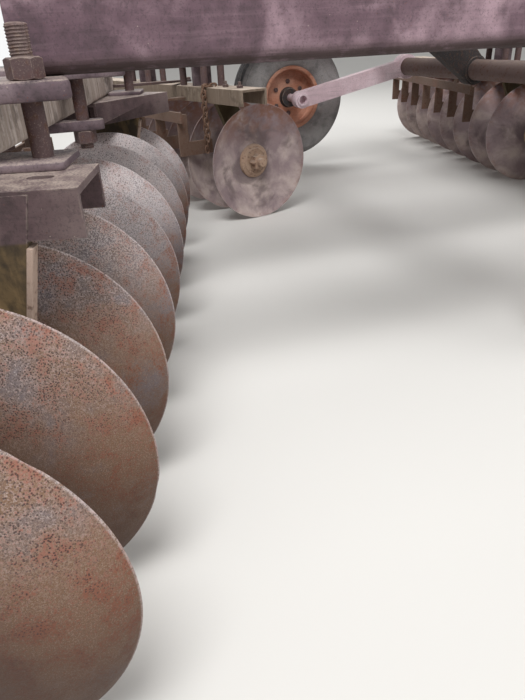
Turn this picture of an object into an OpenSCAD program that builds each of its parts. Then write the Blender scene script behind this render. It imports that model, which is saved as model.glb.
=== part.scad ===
// Old tandem disc harrow with four gangs of dished discs, two transport wheels and a pull tongue.
// +X is the machine's right, +Y is forward, and z = 0 is the ground that the discs stand on.

/* [Discs] */
// Radius of a worn disc
disc_r = 298; // [270:1:305]
// Thickness of a disc
disc_t = 8; // [6:1:10]
// Depth of a disc's dish
dish_depth = 70; // [50:1:80]
// Radius of the flat in a disc's middle
disc_flat_r = 62; // [55:1:66]
// Distance between discs along a gang
disc_pitch = 279.4; // [270:0.1:290]
// Angle between a gang and the machine's width
gang_angle = 14.65; // [12:0.05:18]
// Distance of the innermost discs from the plane between the gangs
inner_x = 170; // [160:1:190]

/* [Gang beams] */
// Underside of the box beams, on which the hanger channels are clamped
beam_z = 710; // [700:1:715]
// Height of a box beam
beam_h = 110; // [100:1:112]
// Width of a box beam
beam_w = 145; // [130:1:150]
// Underside of the channel beams of the left gangs
low_beam_z = 602; // [601:1:606]
// Height of a channel beam
low_beam_h = 76; // [70:1:80]
// Width of a channel beam
low_beam_w = 150; // [130:1:160]

/* [Frame] */
// Thickness of the clamp plates between beams and rails
plate_t = 32; // [28:1:34]
// Width of the outer rails
rail_w = 150; // [120:1:150]
// Height of the outer rails
rail_h = 200; // [160:1:210]
// Distance of the outer rails from the frame's centre plane
rail_x = 1400; // [1396:1:1410]
// Width and height of the inner rails and the cross tubes
tube_w = 150; // [120:1:150]
// Distance of the inner rails from the frame's centre plane
inner_rail_x = 700; // [690:1:710]
// Wall of the rails and the cross tubes
wall = 9; // [6:1:12]

/* [Transport wheels] */
// Radius of a tyre
tyre_r = 410; // [400:1:414]
// Width of a tyre
tyre_w = 210; // [190:1:216]
// Distance of a wheel from the frame's centre plane
wheel_x = 1600; // [1596:1:1603]
// Height of a wheel's spindle with the wheels raised
spindle_z = 500; // [490:1:510]
// Radius of the rockshaft
shaft_r = 58; // [52:1:60]
// Height of the rockshaft's axis
shaft_z = 665; // [660:1:672]

/* [Tongue] */
// Height of the hitch's pin hole
hitch_z = 430; // [400:1:450]
// Radius of the hitch's pin hole
hitch_r = 17; // [13:0.5:20]

/* [Hidden] */

// Distances from the datum, between the gangs and at the near gang, to the middle of the machine
mid_x = 135.18;
mid_y = 2592.75;
// The frame's centre plane, to the right of the plane between the gangs
centre_x = 200;
// Running clearance between a shaft and its bore
run_gap = 0.3;
axle_z = disc_r;
rail_z = beam_z + beam_h + plate_t;
// The gaps between discs that hold a bearing, counted from the innermost
BEARING_GAPS = [0, 6];

// side, y of the innermost rim, swing of the outer end (1 forward), side the hollow faces (1 out),
// beam kind (0 a box on hanger channels, 1 a low channel), discs
GANGS = [
  [ 1,  272, -1, -1, 0, 9],
  [-1, 1047, -1, -1, 1, 8],
  [-1, 2870,  1,  1, 1, 8],
  [ 1, 2990,  1,  1, 0, 9]];
RR = 0; RL = 1; FL = 2; FR = 3;
function side(g) = GANGS[g][0];
function gang_y(g) = GANGS[g][1];
function swing(g) = GANGS[g][2];
function dish(g) = GANGS[g][3];
function is_low(g) = GANGS[g][4] == 1;
function discs(g) = GANGS[g][5];
function gang_len(g) = (discs(g) - 1) * disc_pitch;

// Hanger channel over each bearing of a box beam: how far its middle lies towards the discs' hollows
// and ahead of the bearing, its turn from the line of the discs, and whether its web has a slot
CHANNEL_AT = [[6, 40, 58, 0], [86, 0, 0, 1]];

// Wheel linkage
shaft_y = 2520;
wheel_y = 1700;
arm_x = 1350;
arm_w = 70;
arm_h = 105;
// Crank that the lift cylinder pushes, leaning forward by half its swing
crank_len = 270;
crank_lean = 15;
crank_y = shaft_y + crank_len * sin(crank_lean);
crank_z = shaft_z + crank_len * cos(crank_lean);
crank_pin_r = 12;
lug_y = 3262;
lug_z = 880;
cylinder_len = norm([lug_y - crank_y, lug_z - crank_z]);
cylinder_dip = atan2(lug_z - crank_z, lug_y - crank_y);

// Cross tubes: y of the rear face
CROSS_Y = [1140, 2160, 3400];
// Outer ends of the rails: rear and front
RIGHT_RAIL_Y = [-40, 3640];
LEFT_RAIL_Y = [560, 3530];
INNER_RAIL_Y = [[0, 3400], [720, 3400]];

// Tongue
tongue_y = 3700;
tongue_z = 780;
hitch_y = 5750;
tongue_dip = atan2(tongue_z - hitch_z, hitch_y - tongue_y);
tongue_len = norm([hitch_y - tongue_y, tongue_z - hitch_z]);
jack_y = 5150;
jack_x = 150;

$fn = 48;

// Everything is laid out from the datum and then centred on the machine's box
module placed() translate([-mid_x, -mid_y, 0]) children();

// Places what is even about the frame's centre plane
module framed() placed() translate([centre_x, 0, 0]) children();

// Places children in a gang's own frame: +X along the gang from its innermost rim, +Y ahead,
// z = 0 at the axle
module on_gang(g)
  placed() mirror([side(g) < 0 ? 1 : 0, 0, 0])
    translate([inner_x, gang_y(g), axle_z]) rotate([0, 0, swing(g) * gang_angle]) children();

// A rectangle with rounded corners, centred, as one outline
function arc_pts(cx, cy, r, from, n = 5) =
  [for (i = [0:n]) let (a = from + 90 * i / n) [cx + r * cos(a), cy + r * sin(a)]];
function round_rect(w, h, r) = concat(
  arc_pts(w / 2 - r, h / 2 - r, r, 0), arc_pts(r - w / 2, h / 2 - r, r, 90),
  arc_pts(r - w / 2, r - h / 2, r, 180), arc_pts(w / 2 - r, r - h / 2, r, 270));

// A square tube along +Y from y = 0, resting on z = 0 and centred on x = 0
module tube_y(len, w, h, r, t = wall)
  translate([0, 0, h / 2]) rotate([-90, 0, 0]) linear_extrude(len) difference() {
    polygon(round_rect(w, h, r));
    polygon(round_rect(w - 2 * t, h - 2 * t, r - t / 2));
  }

// The same tube along +X
module tube_x(len, w, h, r, t = wall) rotate([0, 0, -90]) tube_y(len, w, h, r, t);

// An inverted channel along +Y from y = 0, its web's top at z = 0
module channel_y(len, w, h, t)
  rotate([-90, 0, 0]) linear_extrude(len)
    polygon([[-w / 2, 0], [w / 2, 0], [w / 2, h], [w / 2 - t, h], [w / 2 - t, t],
      [t - w / 2, t], [t - w / 2, h], [-w / 2, h]]);

// Cylinder along +X from x = 0
module rod_x(r, len) rotate([0, 90, 0]) cylinder(r = r, h = len);

// Disc outline: a flat middle, then an arc to the rim, which is ground to an edge
arc_run = disc_r - disc_flat_r;
arc_r = (arc_run * arc_run + dish_depth * dish_depth) / (2 * dish_depth);
function dish_at(r) = r <= disc_flat_r ? 0
  : arc_r - sqrt(arc_r * arc_r - (r - disc_flat_r) * (r - disc_flat_r));
disc_hole_r = 21;
edge_t = 2;
bevel = 16;
module disc_shape() {
  steps = 9;
  last = disc_r - bevel;
  radii = [for (i = [0:steps]) disc_flat_r + (last - disc_flat_r) * i / steps];
  rotate([0, 90, 0]) rotate_extrude($fn = 72) polygon(concat(
    [[disc_hole_r, -disc_t / 2]], [for (r = radii) [r, dish_at(r) - disc_t / 2]],
    [[disc_r, dish_depth + disc_t / 2 - edge_t], [disc_r, dish_depth + disc_t / 2]],
    [for (i = [0:steps]) [radii[steps - i], dish_at(radii[steps - i]) + disc_t / 2]],
    [[disc_hole_r, disc_t / 2]]));
}

// Middle of disc k along a gang, where its flat is
function disc_x(g, k) = k * disc_pitch - dish(g) * dish_depth;
// A bearing stands nearly halfway between two rims
function bearing_x(g, k) = (k + 0.5) * disc_pitch + dish(g) * 5;

module gang_discs(g) on_gang(g) for (k = [0:discs(g) - 1])
  translate([disc_x(g, k), 0, 0]) mirror([dish(g) < 0 ? 1 : 0, 0, 0]) disc_shape();

// Square axle bar with spools between the discs, end washers and square nuts
axle_r = 19;
spool_r = 38;
spool_end_r = 60;
washer_r = 72;
washer_t = 24;
nut_w = 62;
nut_h = 44;
axle_out = 30;
module spool() {
  len = disc_pitch - disc_t;
  rotate([0, 90, 0]) rotate_extrude() polygon([[0, 0], [spool_end_r, 0], [spool_end_r, 8],
    [spool_r, 13], [spool_r, len - 13], [spool_end_r, len - 8], [spool_end_r, len], [0, len]]);
}
module end_nut() {
  rotate([0, 90, 0]) rotate_extrude() polygon([[0, 0], [disc_flat_r - 1, 0], [washer_r, 4],
    [washer_r - 6, washer_t], [0, washer_t]]);
  translate([washer_t, -nut_w / 2, -nut_w / 2]) cube([nut_h, nut_w, nut_w]);
  rod_x(axle_r, washer_t + nut_h + axle_out);
}
module axle(g) on_gang(g) {
  for (k = [0:discs(g) - 2]) translate([disc_x(g, k) + disc_t / 2, 0, 0]) spool();
  translate([disc_x(g, 0) - disc_t, 0, 0]) rod_x(axle_r, gang_len(g) + 2 * disc_t);
  translate([disc_x(g, discs(g) - 1) + disc_t / 2, 0, 0]) end_nut();
  translate([disc_x(g, 0) - disc_t / 2, 0, 0]) mirror([1, 0, 0]) end_nut();
}

// Gang beams
beam_over = 150;
box_over = 160.5;
beam_y = -beam_w / 2 - 5;
low_beam_y = -115;
module beam(g) on_gang(g) if (is_low(g))
  translate([-beam_over, low_beam_y, low_beam_z + low_beam_h - axle_z]) rotate([0, 0, -90])
    channel_y(gang_len(g) + 2 * beam_over, low_beam_w, low_beam_h, 12);
else
  translate([-box_over, beam_y, beam_z - axle_z])
    tube_x(gang_len(g) + 2 * box_over, beam_w, beam_h, 14);

// Bearing housing with the leg that carries it
bearing_r = 78;
bearing_bore = spool_r + run_gap;
bearing_len = 84;
leg_t = 32;
module leg(top, lean, ahead) difference() {
  union() {
    translate([-leg_t / 2, 0, 0]) rotate([90, 0, 90]) linear_extrude(leg_t)
      polygon([[-58, 30], [55, 30], [ahead, top], [lean - 62, top]]);
    translate([-bearing_len / 2, 0, 0]) rod_x(bearing_r, bearing_len);
  }
  translate([-bearing_len, 0, 0]) rod_x(bearing_bore, 2 * bearing_len);
}
hanger_w = 200;
hanger_h = 78;
hanger_back = 235;
hanger_ahead = 218;
hanger_t = 12;
slot_y = 138;
slot_l = 46;
slot_r = 14;
module hanger_channel(slotted) difference() {
  translate([0, -hanger_back, 0]) channel_y(hanger_back + hanger_ahead, hanger_w, hanger_h, hanger_t);
  if (slotted) translate([0, slot_y, -2 * hanger_t]) linear_extrude(3 * hanger_t)
    polygon(round_rect(2 * slot_r, slot_l, slot_r - 0.5));
}
module hangers(g) on_gang(g) for (i = [0, 1]) translate([bearing_x(g, BEARING_GAPS[i]), 0, 0])
  if (is_low(g)) leg(low_beam_z - axle_z, low_beam_y, low_beam_y + 62);
  else {
    leg(beam_z - axle_z - hanger_t / 2, -10, 142);
    translate([dish(g) * CHANNEL_AT[i][0], CHANNEL_AT[i][1], beam_z - axle_z])
      rotate([0, 0, -dish(g) * CHANNEL_AT[i][2]]) hanger_channel(CHANNEL_AT[i][3] == 1);
  }

// Clamp plates over each gang beam, drawn down on it by bolts; the rails rest on them
bolt_r = 19;
bolt_nut_w = 58;
bolt_nut_h = 36;
bolt_up = 52;
clamp_ahead = 150;
clamp_back = 190;
low_plate_t = 28;
post_w = 50;
strap_w = 56;
foot_w = 150;
foot_t = 14;
// How far a foot plate, and a strap, reach past their bolts
foot_past = 52;
strap_past = 58;
// Bolts behind a box beam, and the rows of them through the web of a channel beam
back_bolt_y = beam_y - beam_w / 2 - 22;
LOW_BOLTS = [low_beam_y + 45, low_beam_y - 45];
// How a bolt ends below: on the beam itself, in a strap under the beam, or on a foot plate that
// lies on a hanger channel
ON_BEAM = 0; IN_STRAP = 1; ON_CHANNEL = 2;
// The clamps of each gang: distance from the plane between the gangs, ends of the plate and the
// bolts' places across it, how the bolts end, how many rows of them there are, and on a box beam
// how far ahead the front row stands
right_in = centre_x + inner_rail_x;
right_out = centre_x + rail_x;
left_in = inner_rail_x - centre_x;
left_out = rail_x - centre_x;
CLAMPS = [
  [[200, -70, 70, [0], ON_CHANNEL, 1, 85], [right_in, -75, 215, [150], IN_STRAP, 2, 52],
   [right_out, -75, 215, [150], ON_CHANNEL, 2, 116]],
  [[left_in, -160, 160, [-118, 118], ON_BEAM, 2], [left_out, -160, 160, [-118, 118], ON_BEAM, 2]],
  [[left_in, -160, 160, [-118, 118], ON_BEAM, 2], [left_out, -160, 160, [-118, 118], ON_BEAM, 2]],
  [[right_in, -75, 215, [150], IN_STRAP, 2, 52], [right_out, -75, 215, [150], IN_STRAP, 2, 116]]];
function clamp_x(x) = (x - inner_x) / cos(gang_angle);
module nut() cylinder(r = bolt_nut_w / 2 + 4, h = bolt_nut_h, $fn = 6);
module foot_plate(low, ends) translate([0, (ends[0] + ends[1]) / 2, low]) linear_extrude(foot_t)
  polygon(round_rect(foot_w, ends[1] - ends[0], 12));
// Drawn with +Y straight ahead, while the beam under it runs at the gang's angle
module clamp(turn, low, rows, c) {
  top = beam_z + beam_h - axle_z;
  translate([(c[1] + c[2]) / 2, (clamp_ahead - clamp_back) / 2, top]) linear_extrude(plate_t)
    polygon(round_rect(c[2] - c[1], clamp_ahead + clamp_back, 26));
  for (x = c[3]) {
    at = [for (y = rows) (y + x * sin(turn)) / cos(turn)];
    foot = c[4] == IN_STRAP ? low - low_plate_t - bolt_nut_h - 14 : low;
    for (i = [0:c[5] - 1]) translate([x, at[i], 0]) {
      translate([0, 0, foot]) cylinder(r = bolt_r, h = top + plate_t + bolt_nut_h - foot
        + (i == 0 ? bolt_up : 14));
      translate([0, 0, top + plate_t]) nut();
      if (c[4] == IN_STRAP) translate([0, 0, foot + 14]) nut();
      if (c[4] == ON_CHANNEL) rotate([0, 0, turn]) foot_plate(low,
        i == 0 ? [3 - rows[0], foot_past] : [-foot_past, 19]);
    }
    if (c[4] == IN_STRAP) translate([x, (at[0] + strap_past + at[1] - 34) / 2, low - low_plate_t])
      linear_extrude(low_plate_t) polygon(round_rect(strap_w, at[0] + strap_past - at[1] + 34, 16));
  }
}
module clamps(g) on_gang(g) for (c = CLAMPS[g]) translate([clamp_x(c[0]), 0, 0]) {
  low = is_low(g) ? low_beam_z + low_beam_h - axle_z : beam_z - axle_z;
  turn = swing(g) * gang_angle;
  rotate([0, 0, -turn]) clamp(turn, low, is_low(g) ? LOW_BOLTS : [c[6], back_bolt_y], c);
  if (is_low(g)) translate([low_beam_y * tan(turn), low_beam_y, low]) rotate([0, 0, -turn])
    translate([-post_w / 2, -50, 0]) cube([post_w, 100, beam_z + beam_h - axle_z - low]);
}

// Scraper bar behind the discs, with a blade in the hollow of each disc
bar_y = -345;
bar_z = 215;
// First disc with a blade, and the gaps with a bracket up to the beam: box beams, channel beams
FIRST_BLADE = [0, 1];
BRACKET_GAPS = [[0, 6], [1, 6]];
module scrapers(g) on_gang(g) {
  first = FIRST_BLADE[is_low(g) ? 1 : 0];
  translate([first * disc_pitch - 60, bar_y, bar_z])
    cube([(discs(g) - 1 - first) * disc_pitch + 120, 12, 55]);
  for (k = [first:discs(g) - 1]) translate([k * disc_pitch + (dish(g) > 0 ? 10 : -18), 0, 0]) {
    translate([0, bar_y, 60]) cube([8, 60, bar_z + 40 - 60]);
    translate([0, bar_y, 40]) cube([8, 205, 75]);
  }
  for (k = BRACKET_GAPS[is_low(g) ? 1 : 0]) translate([bearing_x(g, k) + 28, bar_y, bar_z]) {
    cube([60, 14, (is_low(g) ? low_beam_z + 20 : beam_z + 20) - axle_z - bar_z]);
    translate([0, 0, (is_low(g) ? low_beam_z + 6 : beam_z + 6) - axle_z - bar_z])
      cube([60, -bar_y + (is_low(g) ? low_beam_y - low_beam_w / 2 : beam_y - beam_w / 2), 14]);
  }
}

// Rails and cross tubes
module rail(x, ends) framed() translate([x, ends[0], rail_z])
  tube_y(ends[1] - ends[0], rail_w, rail_h, 24);
module right_rail() color("rosybrown") rail(rail_x, RIGHT_RAIL_Y);
module left_rail() color("rosybrown") rail(-rail_x, LEFT_RAIL_Y);
module inner_rails() color("rosybrown") framed() for (s = [-1, 1]) {
  ends = INNER_RAIL_Y[s > 0 ? 0 : 1];
  cuts = concat([ends[0]], [for (y = CROSS_Y) if (y < ends[1]) each [y, y + tube_w]], [ends[1]]);
  for (i = [0:2:len(cuts) - 2]) if (cuts[i + 1] - cuts[i] > 1)
    translate([s * inner_rail_x, cuts[i], rail_z]) tube_y(cuts[i + 1] - cuts[i], tube_w, tube_w, 18);
}
module cross_tubes() color("rosybrown") framed() for (y = CROSS_Y)
  translate([-rail_x + rail_w / 2, y + tube_w / 2, rail_z])
    tube_x(2 * rail_x - rail_w, tube_w, tube_w, 18);

// Rockshaft with its two wheel arms, spindles and the crank for the lift cylinder
ring_r = shaft_r + 26;
bearing_at = 580;
module rockshaft_bearings() color("dimgray") framed() for (s = [-1, 1])
  translate([s * bearing_at - 35, shaft_y, shaft_z]) difference() {
    union() {
      rod_x(ring_r, 70);
      rotate([90, 0, 90]) linear_extrude(70)
        polygon([[-50, -60], [60, 0], [40, 70], [-210, 330], [-210, rail_z - shaft_z], [-355, 187],
          [-355, 150]]);
    }
    translate([-5, 0, 0]) rod_x(shaft_r + run_gap, 80);
  }
spindle_r = 26;
module rockshaft() color("tan") framed() translate([0, shaft_y, shaft_z]) {
  translate([-arm_x - 60, 0, 0]) rod_x(shaft_r, 2 * arm_x + 120);
  for (x = [-58, 36]) translate([x, 0, 0]) rotate([-crank_lean, 0, 0]) {
    translate([0, -42, 0]) cube([22, 84, crank_len]);
    translate([0, 0, crank_len]) rod_x(42, 22);
  }
  translate([-50, 0, 0]) rotate([-crank_lean, 0, 0]) translate([0, 0, crank_len])
    rod_x(crank_pin_r, 100);
}
// Wheel arm with a bored eye at its inner side and the spindle at its outer side
arm_eye_r = 28;
module arm(s) color("rosybrown") framed() mirror([s < 0 ? 1 : 0, 0, 0])
  translate([arm_x, shaft_y, shaft_z]) {
    dy = wheel_y - shaft_y;
    dz = spindle_z - shaft_z;
    difference() {
      union() {
        rotate([atan2(dz, dy), 0, 0]) translate([-arm_w / 2, 0, -arm_h / 2])
          cube([arm_w, norm([dy, dz]), arm_h]);
        translate([-arm_w / 2 - 4, dy, dz]) rod_x(arm_h / 2 + 3, arm_w + 8);
        translate([-arm_w / 2 - 4, 0, 0]) rod_x(shaft_r + 22, arm_w + 8);
      }
      translate([-arm_w, dy, dz]) rod_x(arm_eye_r, arm_w);
      translate([-arm_w, 0, 0]) rod_x(shaft_r, 2 * arm_w);
    }
    translate([arm_w / 2 - 6, dy, dz]) rod_x(spindle_r, wheel_x - arm_x + 35);
  }

// Wheels: dished rim with a hub on the spindle
rim_r = 205;
hub_r = 62;
module on_wheel(s) framed() translate([s * wheel_x, wheel_y, spindle_z]) mirror([s < 0 ? 1 : 0, 0, 0])
  children();
module rim(s) color("indianred") on_wheel(s) rotate([0, 90, 0]) rotate_extrude()
  polygon([[spindle_r + run_gap, -55], [hub_r, -55], [hub_r, -12], [150, 10], [188, 10], [188, -82],
    [212, -88], [212, -80], [rim_r - 7, -70], [rim_r - 7, 70], [212, 80], [212, 88], [188, 82],
    [188, 22], [150, 22], [hub_r, 4], [hub_r, 40], [44, 52], [44, 78], [spindle_r + run_gap, 78]]);
module tyre(s) color("dimgray") on_wheel(s) rotate([0, 90, 0]) rotate_extrude()
  polygon([[rim_r - 6, -68], [214, -76], [260, -tyre_w / 2 + 4], [310, -tyre_w / 2],
    [360, -tyre_w / 2 + 6], [392, -82], [tyre_r - 3, -50], [tyre_r, 0], [tyre_r - 3, 50], [392, 82],
    [360, tyre_w / 2 - 6], [310, tyre_w / 2], [260, tyre_w / 2 - 4], [214, 76], [rim_r - 6, 68]]);

// Lift cylinder, lying from the front cross tube back to the crank
barrel_r = 52;
barrel_len = 400;
module on_cylinder() framed() translate([0, lug_y, lug_z]) rotate([-cylinder_dip, 0, 180])
  children();
module cylinder_lug() color("rosybrown") framed() difference() {
  for (x = [-62, 42]) translate([x, lug_y - 40, lug_z - 45]) cube([20, CROSS_Y[2] - lug_y + 40, 90]);
  translate([-70, lug_y, lug_z]) rod_x(16.4, 140);
}
module cylinder_barrel() color("firebrick") {
  on_cylinder() {
    translate([-30, 0, 0]) rod_x(36, 60);
    translate([0, 20, 0]) rotate([-90, 0, 0]) cylinder(r = 30, h = 60);
    difference() {
      translate([0, 60, 0]) rotate([-90, 0, 0]) cylinder(r = barrel_r, h = barrel_len);
      translate([0, 100, 0]) rotate([-90, 0, 0]) cylinder(r = 20.5, h = barrel_len);
    }
  }
  framed() translate([-68, lug_y, lug_z]) rod_x(16, 136);
}
module cylinder_rod() color("silver") on_cylinder() difference() {
  union() {
    translate([0, 110, 0]) rotate([-90, 0, 0]) cylinder(r = 20, h = cylinder_len - 110);
    translate([-24, cylinder_len, 0]) rod_x(38, 48);
  }
  translate([-40, cylinder_len, 0]) rod_x(22, 80);
}

// Tongue: centre tube with two braces, hinged on lugs at the front of the inner rails
module on_tongue() framed() translate([0, tongue_y, tongue_z]) rotate([-tongue_dip, 0, 0]) children();
brace_x = 420;
hinge_pin_r = 18;
module hinge_lugs() color("rosybrown") framed() for (s = [-1, 1]) translate([s * brace_x, 0, 0]) {
  for (x = [-74, 50]) translate([x, 0, 0]) {
    translate([0, CROSS_Y[2] + tube_w, rail_z])
      cube([24, tongue_y - CROSS_Y[2] - tube_w - 10, 90]);
    translate([0, tongue_y - 60, tongue_z]) cube([24, 90, rail_z - tongue_z + 90]);
    translate([0, tongue_y, tongue_z]) rod_x(48, 24);
  }
  translate([-86, tongue_y, tongue_z]) rod_x(hinge_pin_r, 172);
}
module tongue_tube() color("rosybrown") on_tongue()
  translate([0, 560, -60]) tube_y(tongue_len - 560 - 140, 130, 120, 14);
module tongue_braces() color("rosybrown") on_tongue() for (s = [-1, 1]) difference() {
  union() {
    translate([s * brace_x - 44, 0, 0]) rod_x(44, 88);
    translate([s * brace_x, 10, 0]) rotate([0, 0, s * 20]) translate([-30, 0, -45]) cube([60, 1000, 90]);
  }
  translate([s * brace_x - 50, 0, 0]) rod_x(hinge_pin_r + run_gap, 100);
  translate([-65, 500, -70]) cube([130, 600, 140]);
}
module hitch_clevis() color("dimgray") on_tongue() difference() {
  translate([-45, tongue_len - 140, -52]) cube([90, 210, 104]);
  translate([-50, tongue_len - 80, -26]) cube([100, 200, 52]);
  translate([0, tongue_len + 20, -60]) cylinder(r = hitch_r, h = 120);
}

// Parking jack on the tongue's right side
jack_top = 900;
jack_leg_r = 28;
module jack_tube() color("dimgray") framed() translate([jack_x, jack_y, 0]) {
  translate([0, 0, 260]) difference() {
    cylinder(r = 36, h = jack_top - 260);
    translate([0, 0, -5]) cylinder(r = jack_leg_r + run_gap, h = jack_top - 300);
  }
  translate([-85, -30, 470]) cube([56, 60, 90]);
}
module jack_leg() color("silver") framed() translate([jack_x, jack_y, 0]) {
  cylinder(r = 90, h = 10);
  cylinder(r = jack_leg_r, h = 560);
}

right_rail();
left_rail();
inner_rails();
cross_tubes();
color("tan") beam(RR);  // rear_right_beam
color("tan") beam(RL);  // rear_left_beam
color("tan") beam(FL);  // front_left_beam
color("tan") beam(FR);  // front_right_beam
color("rosybrown") hangers(RR);  // rear_right_hangers
color("rosybrown") hangers(RL);  // rear_left_hangers
color("rosybrown") hangers(FL);  // front_left_hangers
color("rosybrown") hangers(FR);  // front_right_hangers
color("gray") clamps(RR);  // rear_right_clamps
color("gray") clamps(RL);  // rear_left_clamps
color("gray") clamps(FL);  // front_left_clamps
color("gray") clamps(FR);  // front_right_clamps
color("sienna") scrapers(RR);  // rear_right_scrapers
color("sienna") scrapers(RL);  // rear_left_scrapers
color("sienna") scrapers(FL);  // front_left_scrapers
color("sienna") scrapers(FR);  // front_right_scrapers
color("peru") gang_discs(RR);  // rear_right_discs
color("peru") gang_discs(RL);  // rear_left_discs
color("peru") gang_discs(FL);  // front_left_discs
color("peru") gang_discs(FR);  // front_right_discs
color("gray") axle(RR);  // rear_right_axle
color("gray") axle(RL);  // rear_left_axle
color("gray") axle(FL);  // front_left_axle
color("gray") axle(FR);  // front_right_axle
rockshaft_bearings();
rockshaft();
arm(-1);  // left_arm
arm(1);  // right_arm
rim(-1);  // left_rim
tyre(-1);  // left_tyre
rim(1);  // right_rim
tyre(1);  // right_tyre
cylinder_lug();
cylinder_barrel();
cylinder_rod();
hinge_lugs();
tongue_tube();
tongue_braces();
hitch_clevis();
jack_tube();
jack_leg();
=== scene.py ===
"""Looks of an old tandem disc harrow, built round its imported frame."""

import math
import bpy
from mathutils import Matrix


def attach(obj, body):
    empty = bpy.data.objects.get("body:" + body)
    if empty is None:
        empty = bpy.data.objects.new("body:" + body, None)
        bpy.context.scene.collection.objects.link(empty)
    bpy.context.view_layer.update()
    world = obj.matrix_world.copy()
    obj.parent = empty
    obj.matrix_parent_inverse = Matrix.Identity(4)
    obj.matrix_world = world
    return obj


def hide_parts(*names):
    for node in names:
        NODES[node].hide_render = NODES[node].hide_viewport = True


bl_info = {
    "name": "Disc harrow",
    "version": (1, 0, 0),
    "blender": (4, 5, 0),
    "location": "View3D > Sidebar > Harrow",
    "description": "Rusted discs, clamp hardware, wheels and finishes of an old tandem disc harrow",
    "category": "Object",
}

import bmesh
import bpy
from bpy.props import FloatProperty, FloatVectorProperty, IntProperty, PointerProperty
from mathutils import Matrix, Vector, noise

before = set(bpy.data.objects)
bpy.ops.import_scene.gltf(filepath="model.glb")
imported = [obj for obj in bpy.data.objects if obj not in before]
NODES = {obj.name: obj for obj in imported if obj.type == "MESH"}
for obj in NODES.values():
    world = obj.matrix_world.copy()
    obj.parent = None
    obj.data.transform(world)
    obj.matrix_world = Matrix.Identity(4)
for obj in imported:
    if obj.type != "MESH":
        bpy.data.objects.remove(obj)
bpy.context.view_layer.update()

# Sizes of the solids that the pieces fit, in metres. Places are counted from the plane between the
# gangs and from the near gang's inner rim; the middle of the machine lies at (MIDDLE_X, MIDDLE)
MIDDLE_X = 0.13518
MIDDLE = 2.59275
CENTRE_X = 0.200
PITCH = 0.2794
DISC_R = 0.298
DISC_T = 0.008
DISC_BORE = 0.0215
DISH = 0.070
FLAT_R = 0.062
WASHER_T = 0.024
GANG_ANGLE = math.radians(14.65)
INNER_X = 0.170
BEAM_Z = 0.710
BEAM_H = 0.110
BEAM_W = 0.145
LOW_BEAM_Z = 0.602
LOW_BEAM_H = 0.076
LOW_BEAM_Y = -0.115
LOW_BEAM_W = 0.150
RAIL_X = 1.400
INNER_RAIL_X = 0.700
RAIL_Z = 0.852
TUBE_W = 0.150
CROSS_Y = (1.140, 2.160, 3.400)
WHEEL_X, WHEEL_Y, WHEEL_Z = 1.600, 1.700, 0.500
ARM_EYE_IN = 0.289
SHAFT_Y, SHAFT_Z = 2.520, 0.665
SHAFT_BEARING_X = 0.580
CRANK_LEAN = math.radians(15)
CRANK_Y = SHAFT_Y + 0.270 * math.sin(CRANK_LEAN)
CRANK_Z = SHAFT_Z + 0.270 * math.cos(CRANK_LEAN)
LUG_Y, LUG_Z = 3.262, 0.880
JACK_X, JACK_Y = CENTRE_X + 0.150, 5.150
# Housings of the gang bearings: the discs that they stand behind, and their shift along the axle
BEARINGS = (0, 6)
BEARING_SHIFT = 0.005
# Ahead edge of a leg under a box beam, from the bearing up to the channel, as (y, z) from the axle
LEG_EDGE = ((0.055, 0.030), (0.142, 0.406))
# Ends of the bar that ties the inner ends of the rear gangs together
TIE_BAR = ((0.042, 0.312, 0.735), (-0.900, 0.853, 0.685))
# Clamp plates, posts, straps and foot plates, and the bolts and nuts that draw them to the beams
PLATE_T, PLATE_LENGTH, PLATE_SHIFT = 0.032, 0.340, -0.020
POST_W, POST_LENGTH = 0.050, 0.100
STRAP_T, STRAP_W = 0.028, 0.056
FOOT_T, FOOT_W, FOOT_REACH = 0.014, 0.150, 0.052
BOLT_R, THREAD_R = 0.019, 0.0198
THREAD_FROM, STUB = 0.028, 0.014
# Nuts and bolt heads, as (width across the corners, height)
CLAMP_NUT = (0.066, 0.036)
AXLE_NUT = (0.0895, 0.0445)
WHEEL_NUT, WHEEL_BOLT = (0.030, 0.018), (0.034, 0.010)
SCRAPER_BOLT, BEARING_BOLT = (0.020, 0.008), (0.024, 0.010)
TIE_BOLT, BEAM_NUT = (0.034, 0.014), (0.036, 0.014)
PORT = (0.040, 0.024)
BOLT_CIRCLE = 0.108
# Bolts of the scraper blades: (y, z) from the axle, shift toward the hollow, half their distance
BLADE_TOP, BLADE_SHIFT, BLADE_HALF = (-0.333, 0.243), 0.014, 0.018
# Bolts of the bearings: out from the middle along the axle, across it and above it
BEARING_BOLT_AT = (0.0158, 0.032, 0.108)
# Rows of clamp bolts behind a box beam and on a low beam, and how far a strap reaches past its bolts
BACK_ROW, LOW_BACK_ROW = -BEAM_W - 0.027, LOW_BEAM_Y - 0.045
STRAP_AHEAD, STRAP_BACK = 0.058, 0.034
# side, y of the innermost rim, swing of the outer end, side that the hollows face, low beam, discs
GANGS = {
    "rear_right": (1, 0.272, -1, -1, False, 9),
    "rear_left": (-1, 1.047, -1, -1, True, 8),
    "front_left": (-1, 2.870, 1, 1, True, 8),
    "front_right": (1, 2.990, 1, 1, False, 9),
}
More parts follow.
